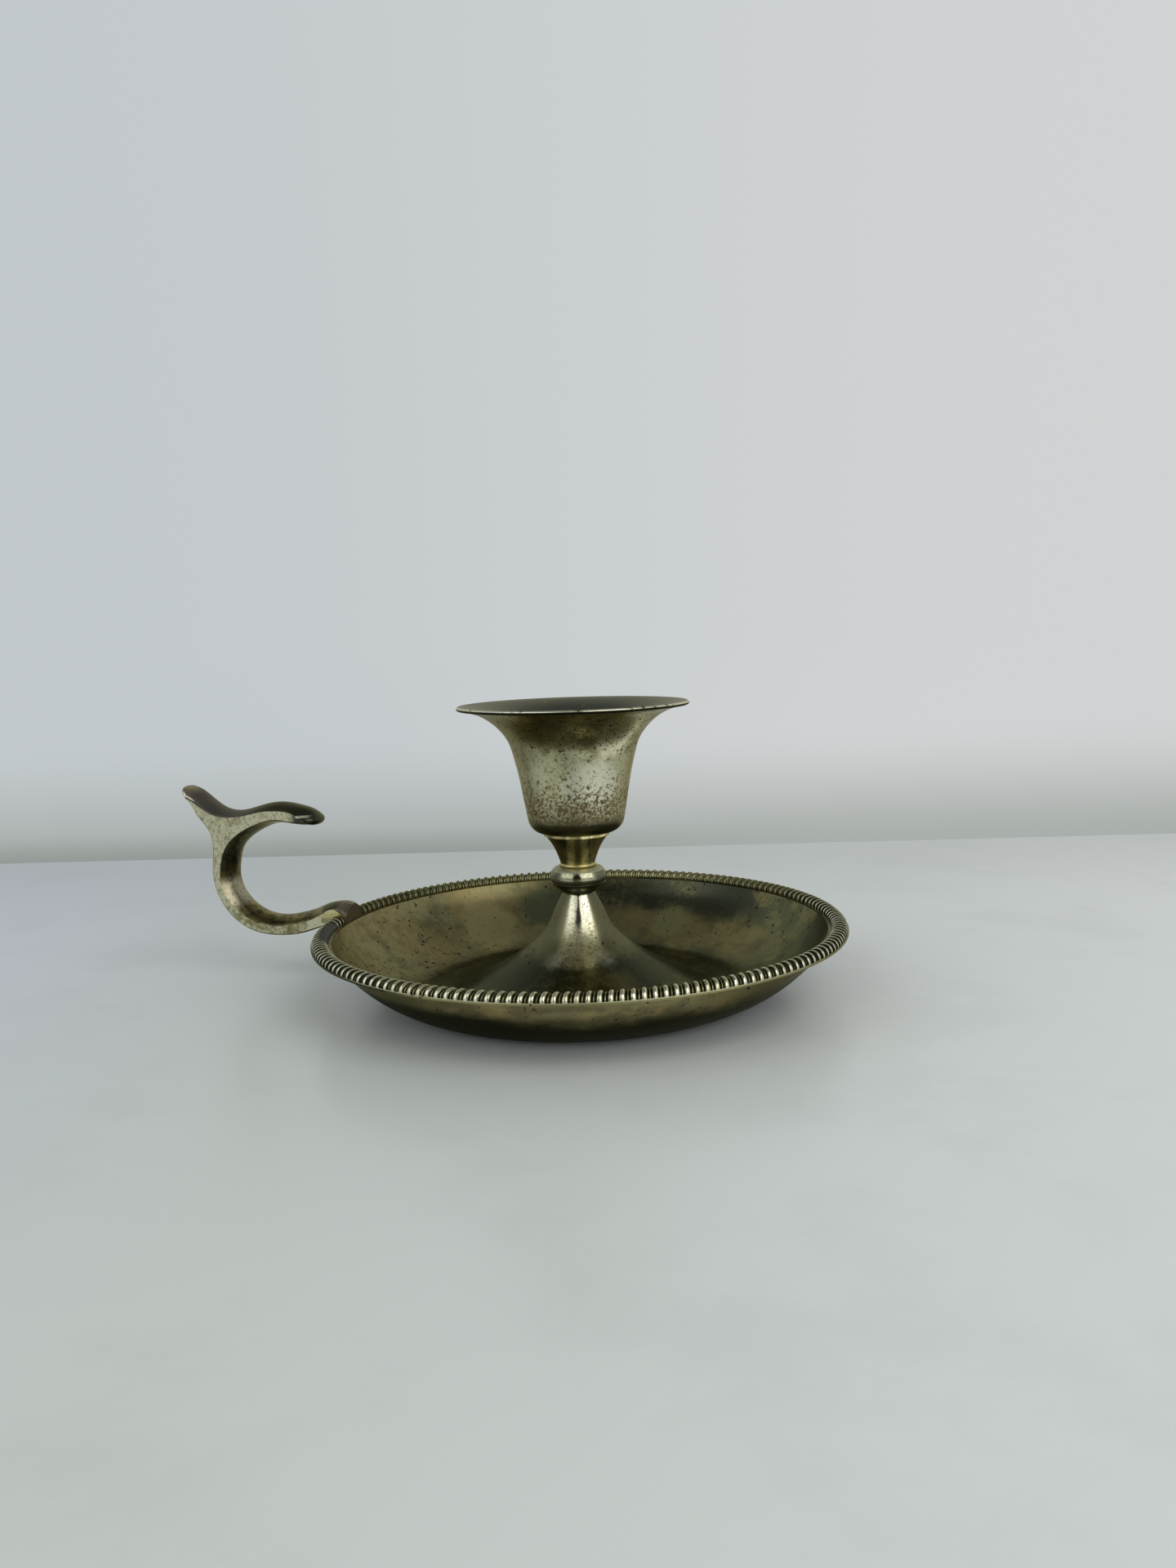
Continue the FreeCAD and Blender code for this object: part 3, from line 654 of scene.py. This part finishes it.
def lay_rope(finish, over):
    """The rope's pattern: warmer thin ridges, and dull grooves dark with dirt and painted shade, all with
    painted shade behind and on the left.
    """
    angle = finish.sum("ARCTAN2", finish.measures["y"], finish.measures["x"])
    turned = finish.sum("ADD", angle, finish.both(over, ROPE_SLANT / ROPE_CENTRE))
    along = finish.sum("FRACT", finish.both(turned, ROPE_LOBES / (2 * math.pi)))
    from_start = finish.sum("SUBTRACT", 0.5, finish.distance(along, 0.5))
    from_groove = finish.sum("MINIMUM", finish.distance(along, ROPE_LOBE_SHARE), from_start)
    ridge = finish.between(along, ROPE_LOBE_SHARE - RIDGE_BLUR, ROPE_LOBE_SHARE + RIDGE_BLUR)
    finish.lay(ridge, WARM_SILVER, 0.30)
    # Painted shade: the border's back and left, as seen, are darker, duller and greener
    finish.lay(finish.zone("border_back", "border_left"), OLIVE_SILVER, 0.34)
    finish.lay(finish.both(finish.zone("behind"), BEHIND_SHARE), OLIVE_SILVER)
    finish.lay(finish.zone("behind"), roughness=0.42)
    finish.lay(finish.both(finish.zone("far_behind"), FAR_BEHIND_SHARE), GREEN_SILVER)
    grime_and_shade = finish.sum("SUBTRACT", from_groove, finish.both(finish.noise(GRIME_SIZE), GRIME_REACH))
    finish.lay(finish.between(grime_and_shade, *GROOVE_DULL), OLIVE_SILVER, 0.34)
    # Painted shade: the dark grooves widen at the sides as seen and narrow behind
    grime_and_shade = finish.sum("SUBTRACT", grime_and_shade, finish.both(finish.zone("far_aside"), GROOVE_SHADE_ASIDE))
    grime_and_shade = finish.sum("ADD", grime_and_shade, finish.both(finish.zone("behind"), GROOVE_SHADE_BEHIND))
    finish.lay(finish.between(grime_and_shade, *GROOVE_DIRT_AND_SHADE), DIRT_AND_SHADE, 0.7)


def border_plate():
    """The rope border: worn bright on the lobes, with painted shade behind, and smeared with solder beside
    the handle.
    """
    finish = Finish("border_plate", BRIGHT_SILVER, 0.24, BORDER_TINT)
    over = finish.sum("DIVIDE", finish.sum("SUBTRACT", finish.measures["radius"], ROPE_CENTRE), ROPE_WIDTH)
    finish.lay(finish.blots("border_pale"), PALE_SILVER, 0.32)
    lay_rope(finish, over)
    solder = finish.both(finish.near(SOLDER_PLACE, SOLDER_REACH), finish.between(over, *SOLDER_BAND))
    finish.lay(finish.between(solder, *SOLDER_EDGE), GREY_SOLDER, 0.5)
    return finish.done()


def lay_flat_sides(finish):
    """The handle's flat sides: pale, with olive clouds and scratches, and a painted shade line along their
    rounded edges.
    """
    side = finish.zone("flat_side", "off_tip")
    # Painted shade: a dark line along the rounded edges between the sides and the top
    finish.lay(finish.zone("outline_inner", "outline_outer"), DIRT_AND_SHADE, 0.5)
    finish.lay(finish.zone("flat_side"), PALE_SILVER, 0.34)
    finish.lay(finish.both(side, finish.blots("side_olive")), OLIVE_SILVER, 0.38)
    finish.cloud("side_dusk", side)
    finish.lay(finish.both(side, finish.blots("side_scratches")), OLIVE_SILVER)
    finish.lay(finish.both(side, finish.zone("side_low"), finish.blots("side_low_olive")), OLIVE_SILVER, 0.4)
    finish.cloud("side_low_dusk", finish.both(side, finish.zone("side_lower_half")))


def lay_scroll(finish):
    """The scroll's inside: brown with black mottles, painted shade at the top and a painted highlight spot.
    """
    scroll = finish.zone("inward", "scroll_height", "scroll_length")
    finish.lay(scroll, BROWN_SILVER, 0.30)
    finish.cloud("scroll_soot", scroll)
    # Painted shade in the scroll's upper inside, under the thumb rest
    finish.lay(finish.zone("inward", "scroll_shade_height", "scroll_shade_near", "scroll_shade_top"), BLACK_SILVER, 0.24)
    # Painted highlight inside the scroll
    shine = finish.between(finish.ragged(finish.near(SHINE_PLACE, SHINE_REACH), *SHINE_RAG), *SHINE_EDGE)
    finish.lay(finish.both(finish.zone("inward"), shine), SCROLL_SILVER, 0.32)
    finish.cloud("scroll_dusk", scroll)


def lay_saddle(finish):
    """The saddle over the border: smoky, with a brown toe."""
    saddle = finish.zone("saddle_length", "saddle_height")
    finish.lay(saddle, SADDLE_SILVER, 0.42)
    finish.cloud("saddle_soot", saddle)
    finish.patches(SADDLE_PATCHES)
    finish.lay(finish.both(saddle, finish.zone("toe")), TOE_SILVER, 0.45)


def lay_tips(finish):
    """The thumb rest's two tips, each with a painted highlight line along an edge."""
    tip_line = finish.zone("tip_line_start", "tip_line_end", "tip_line_near", "tip_line")
    tip_edge = finish.zone("tip_edge_start", "tip_edge_end", "tip_edge_under", "tip_edge_over")
    # Painted highlights along the tips' edges
    finish.lay(tip_line, BRIGHT_SILVER, 0.30)
    finish.lay(finish.both(finish.near(TIP_END_PLACE, TIP_END_REACH), TIP_END_SHARE), WARM_SILVER)
    finish.lay(tip_edge, BRIGHT_SILVER, 0.30)


def handle_plate():
    """The handle's plate: a smoky thumb rest with a painted dark reflection on its top, pale sides and a dark
    scroll, all with fine pits.
    """
    finish = Finish("handle_plate", OLIVE_SILVER, 0.28)
    finish.lay(finish.blots("handle_smoke"), SMOKY_SILVER, 0.30)
    # Painted reflection: the upward-facing top of the thumb rest is darkened
    finish.lay(finish.zone("rest_top", "rest_height"), BLACK_SILVER, 0.36)
    finish.lay(finish.zone("rest_top", "rest_height", "rest_far"), PURPLE_SILVER, 0.5)
    lay_flat_sides(finish)
    lay_scroll(finish)
    finish.lay(finish.zone("rest_tip", "rest_tip_height"), BLACK_SILVER, 0.28)
    lay_saddle(finish)
    lay_tips(finish)
    finish.lay(finish.blots("handle_pits"), SPECKLE, 0.6)
    finish.bumps(*HANDLE_BUMPS, detail=4)
    return finish.done()


def lay_speckles(finish):
    """The cup's speckles: many low down and in crowds, and some under the lip."""
    low_down = finish.both(finish.zone("speckled"), LOW_SPECKS_LEAN)
    finish.lay(finish.blots("cup_olive_specks", low_down), OLIVE_SILVER, 0.42)
    crowded = finish.both(finish.sum("SUBTRACT", finish.noise(CROWD_SIZE), 0.5), CROWD_LEAN)
    finish.lay(finish.blots("cup_brown_specks", finish.sum("ADD", low_down, crowded)), BROWN_SPECKLE, 0.5)
    under_lip = finish.both(finish.zone("under_lip"), UNDER_LIP_LEAN)
    finish.lay(finish.blots("cup_dark_specks", under_lip), SPECKLE, 0.5)


def lay_lip(finish):
    """The cup's inside and lip: smoky and scuffed, with painted shade under and along its edge, and a broken
    painted highlight at its top.
    """
    # Painted shade under the lip's edge
    finish.lay(finish.zone("lip_under_edge", "lip_under"), DIRT_AND_SHADE, 0.5)
    finish.lay(finish.zone("cup_inside"), LIP_SILVER, 0.34)
    scuffs = finish.both(finish.zone("cup_inside"), finish.blots("lip_scuffs"), finish.zone("lip_top"))
    finish.lay(scuffs, OLIVE_SILVER, 0.4)
    # Painted shade along the lip's edge, and a broken painted highlight at its top corner
    finish.lay(finish.zone("lip_edge"), DIRT_AND_SHADE, 0.5)
    edge_highlight = finish.both(finish.zone("lip_edge", "lip_corner"), finish.blots("lip_rubs"))
    finish.lay(edge_highlight, BRIGHT_SILVER, 0.24)


def cup_plate():
    """The cup's plate: pale outside, with painted shade on its flanks as seen and on the flare's left,
    painted highlights, and duller towards its foot.
    """
    finish = Finish("cup_plate", PALE_SILVER, 0.27)
    finish.lay(finish.blots("cup_olive"), OLIVE_SILVER, 0.32)
    # Painted shade on the flare's left, as seen
    finish.lay(finish.zone("cup_left", "cup_flare"), OLIVE_SILVER, 0.32)
    finish.lay(finish.both(finish.blots("cup_warm"), finish.zone("cup_lower_half")), WARM_SILVER)
    # Painted shade on the cup's flanks, as seen
    finish.lay(finish.both(finish.zone("cup_flank"), CUP_FLANK_SHARE), OLIVE_SILVER)
    finish.cloud("flare_olive", finish.zone("flare_start", "flare_left"))
    finish.cloud("cup_dusk")
    finish.patches(CUP_HIGHLIGHTS)
    lay_speckles(finish)
    finish.lay(finish.zone("cup_foot"), CONE_EDGE_SILVER, 0.36)
    lay_lip(finish)
    finish.tool_marks(*CUP_TOOL_MARKS)
    return finish.done()


def knop_plate():
    """The knop: an olive shoulder, a bright band with painted shade on its flanks as seen and a painted dark
    gap between the lights' reflections, and a dark hollow below.
    """
    finish = Finish("knop_plate", KNOP_SILVER, 0.16)
    # Painted shade on the flanks as seen, and a painted reflection gap between the lights
    finish.lay(finish.zone("knop_flank"), SMOKY_SILVER, 0.28)
    finish.lay(finish.zone("knop_gap"), SMOKY_SILVER)
    finish.cloud("knop_olive")
    finish.cloud("knop_grain")
    finish.lay(finish.zone("knop_shoulder"), KNOP_SILVER, 0.5)
    finish.cloud("shoulder_olive", finish.zone("knop_shoulder"))
    finish.lay(finish.zone("knop_hollow"), HOLLOW_SILVER, 0.28)
    finish.tool_marks(*KNOP_TOOL_MARKS)
    return finish.done()


def spool_plate():
    """The spool: satin olive brown with painted highlight streaks, worn to yellow brass at the edge of its
    flange.
    """
    finish = Finish("spool_plate", SPOOL_SILVER, 0.30)
    finish.lay(finish.blots("spool_warm"), WARM_SILVER, 0.36)
    # Painted highlights: the bright base stays in two vertical streaks and at the right, and is olive
    # elsewhere
    streaks = finish.sum("MAXIMUM", finish.zone("spool_streaks"), finish.zone("spool_right"))
    finish.lay(finish.sum("SUBTRACT", 1, streaks), OLIVE_SILVER)
    finish.cloud("spool_dusk")
    finish.lay(finish.both(finish.zone("spool_flange"), finish.blots("spool_wear")), YELLOW_BRASS, 0.30)
    finish.tool_marks(*SPOOL_TOOL_MARKS)
    return finish.done()


def braze_brass():
    """The braze: yellow, with a painted highlight at the top and painted shade low down."""
    finish = Finish("braze_brass", YELLOW_BRASS, 0.20)
    # Painted shade low down and a painted highlight at the top
    finish.lay(finish.zone("braze_low"), OLIVE_SILVER, 0.36)
    finish.lay(finish.zone("braze_top"), PALE_BRASS)
    finish.cloud("braze_olive")
    return finish.done()


def plain_brass(name, colour):
    """Brass that is seen little or not at all."""
    finish = Finish(name, colour, 0.34)
    finish.lay(finish.blots("brass_dull"), OLD_BRASS, 0.42)
    finish.bumps(*BRASS_BUMPS)
    return finish.done()


def turn_to_wall(finish):
    """Makes the floor behind the shelf's back edge glow in the tones of the wall that the camera sees."""
    rightward, backward = finish.measures["rightward"], finish.measures["backward"]
    aside = finish.sum("DIVIDE", rightward, finish.measures["radius"])
    skewed = finish.sum("ADD", backward, finish.both(rightward, SHELF_SKEW))
    steepness = finish.sum("DIVIDE", CAMERA_HEIGHT, finish.sum("ADD", skewed, CAMERA_DISTANCE))
    wall = finish.mix(finish.between(aside, *WALL_ASIDE), WALL_COLOUR, WALL_RIGHT_COLOUR)
    # Painted shade: the wall darkens low down, and more at its foot on the left
    wall = finish.mix(finish.between(steepness, *WALL_SHADE), WALL_LOW_COLOUR, wall)
    in_foot = finish.both(finish.between(steepness, *WALL_FOOT), finish.between(aside, *FOOT_ASIDE))
    glow = finish.nodes.new("ShaderNodeEmission")
    finish.feed(glow.inputs["Color"], finish.mix(in_foot, wall, WALL_FOOT_COLOUR))
    mixed = finish.nodes.new("ShaderNodeMixShader")
    finish.feed(mixed.inputs[0], finish.between(skewed, SHELF_DEPTH, SHELF_DEPTH + SHELF_EDGE_WIDTH))
    finish.feed(mixed.inputs[1], finish.shader.outputs[0])
    finish.feed(mixed.inputs[2], glow.outputs[0])
    finish.feed(finish.nodes["Material Output"].inputs["Surface"], mixed.outputs[0])


def floor():
    """A pale shelf with painted light, brighter to the right and dimmer at the back, that turns into the
    wall's tone behind the object.
    """
    half = FLOOR_SIZE / 2
    data = bpy.data.meshes.new("floor")
    corners = [(-half, -half, 0), (half, -half, 0), (half, half, 0), (-half, half, 0)]
    data.from_pydata(corners, [], [(0, 1, 2, 3)])
    plane = bpy.data.objects.new("floor", data)
    finish = Finish("floor", SHELF_COLOUR, SHELF_ROUGHNESS)
    finish.shader.inputs["Metallic"].default_value = 0
    # Painted light: the shelf brightens to the right and dims towards the back
    finish.lay(finish.zone("shelf_left"), SHELF_LEFT_COLOUR)
    finish.lay(finish.zone("shelf_right"), SHELF_RIGHT_COLOUR)
    finish.lay(finish.both(finish.zone("shelf_back"), SHELF_BACK_SHARE), WALL_LOW_COLOUR)
    finish.cloud("shelf_mottling")
    data.materials.append(finish.done())
    turn_to_wall(finish)
    bpy.context.scene.collection.objects.link(plane)


def room():
    """Even light from a pale room with a dim ceiling. The dark figure in front shows only in reflections."""
    world = bpy.data.worlds.new("room")
    world.use_nodes = True
    tree = Nodes(world.node_tree)
    way = tree.nodes.new("ShaderNodeTexCoord").outputs["Generated"]
    x, y, up = tree.parts(way)
    to_right = (math.cos(CAMERA_AZIMUTH), math.sin(CAMERA_AZIMUTH), 0)
    aside = tree.between(tree.vector_sum("DOT_PRODUCT", "Value", way, to_right), *WALL_ASIDE)
    ceiling = tree.between(up, math.sin(CEILING_START), math.sin(CEILING_FULL))
    colour = tree.mix(ceiling, tree.mix(aside, WALL_COLOUR, WALL_RIGHT_COLOUR), CEILING_COLOUR)
    turn = CAMERA_AZIMUTH + FIGURE_AZIMUTH
    level = tree.vector_sum("NORMALIZE", "Vector", tree.joined(x, y))
    toward = tree.vector_sum("DOT_PRODUCT", "Value", level, (math.sin(turn), -math.cos(turn), 0))
    wide = tree.between(toward, math.cos((1 + FIGURE_SIDE_BLUR) * FIGURE_HALF_WIDTH),
                        math.cos((1 - FIGURE_SIDE_BLUR) * FIGURE_HALF_WIDTH))
    tall = tree.between(up, math.sin(FIGURE_TOP), math.sin(FIGURE_TOP - FIGURE_TOP_BLUR))
    seen = tree.nodes.new("ShaderNodeLightPath").outputs["Is Camera Ray"]
    figure = tree.both(wide, tall, tree.sum("SUBTRACT", 1, seen))
    tree.feed(tree.nodes["Background"].inputs["Color"], tree.mix(figure, colour, FIGURE_COLOUR))
    bpy.context.scene.world = world


def softbox(name, azimuth, elevation, distance, size, radiance):
    """A soft rectangular light, placed by its direction from the object as the camera sees it."""
    turn = CAMERA_AZIMUTH + math.radians(azimuth)
    rise = math.radians(elevation)
    way = Vector((math.sin(turn) * math.cos(rise), -math.cos(turn) * math.cos(rise), math.sin(rise)))
    data = bpy.data.lights.new(name, "AREA")
    data.shape = "RECTANGLE"
    data.size, data.size_y = size
    data.energy = radiance * math.pi * size[0] * size[1]
    lamp = bpy.data.objects.new(name, data)
    lamp.location = way * distance
    lamp.rotation_euler = (-way).to_track_quat("-Z", "Y").to_euler()
    lamp.visible_camera = False
    bpy.context.scene.collection.objects.link(lamp)


def camera():
    """The camera at the photograph's place and angle."""
    turn = Matrix.Rotation(CAMERA_AZIMUTH, 3, "Z")
    place = turn @ Vector((-CAMERA_ASIDE, -CAMERA_DISTANCE, CAMERA_HEIGHT))
    ahead = turn @ Matrix.Rotation(CAMERA_YAW, 3, "Z") @ Vector((0, 1, 0))
    aside = ahead.cross(UP)
    forward = ahead * math.cos(CAMERA_PITCH) - UP * math.sin(CAMERA_PITCH)
    upward = ahead * math.sin(CAMERA_PITCH) + UP * math.cos(CAMERA_PITCH)
    right = aside * math.cos(CAMERA_ROLL) - upward * math.sin(CAMERA_ROLL)
    top = aside * math.sin(CAMERA_ROLL) + upward * math.cos(CAMERA_ROLL)
    data = bpy.data.cameras.new("camera")
    data.lens = CAMERA_LENS
    data.clip_start = CAMERA_CLIP
    made = bpy.data.objects.new("camera", data)
    axes = Matrix((right, top, -forward)).transposed()
    made.matrix_world = Matrix.Translation(place) @ axes.to_4x4()
    bpy.context.scene.collection.objects.link(made)
    bpy.context.scene.camera = made


def dress(material, *nodes):
    """Gives CAD nodes their material."""
    for node in nodes:
        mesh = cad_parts[node].data
        mesh.materials.clear()
        mesh.materials.append(material)


dress(pan_plate(), "drip_pan")
dress(border_plate(), "gadroon_border")
dress(handle_plate(), "handle")
dress(cup_plate(), "candle_cup")
dress(knop_plate(), "knop")
dress(spool_plate(), "spool")
dress(plain_brass("collar_brass", YELLOW_BRASS), "spool_collar")
dress(braze_brass(), "saddle_braze_near", "saddle_braze_far")
dress(plain_brass("screw_brass", OLD_BRASS), "centre_screw", "washer", "nut")
floor()
room()
for row in SOFTBOXES:
    softbox(*row)
camera()
bpy.context.scene.view_settings.view_transform = "Standard"
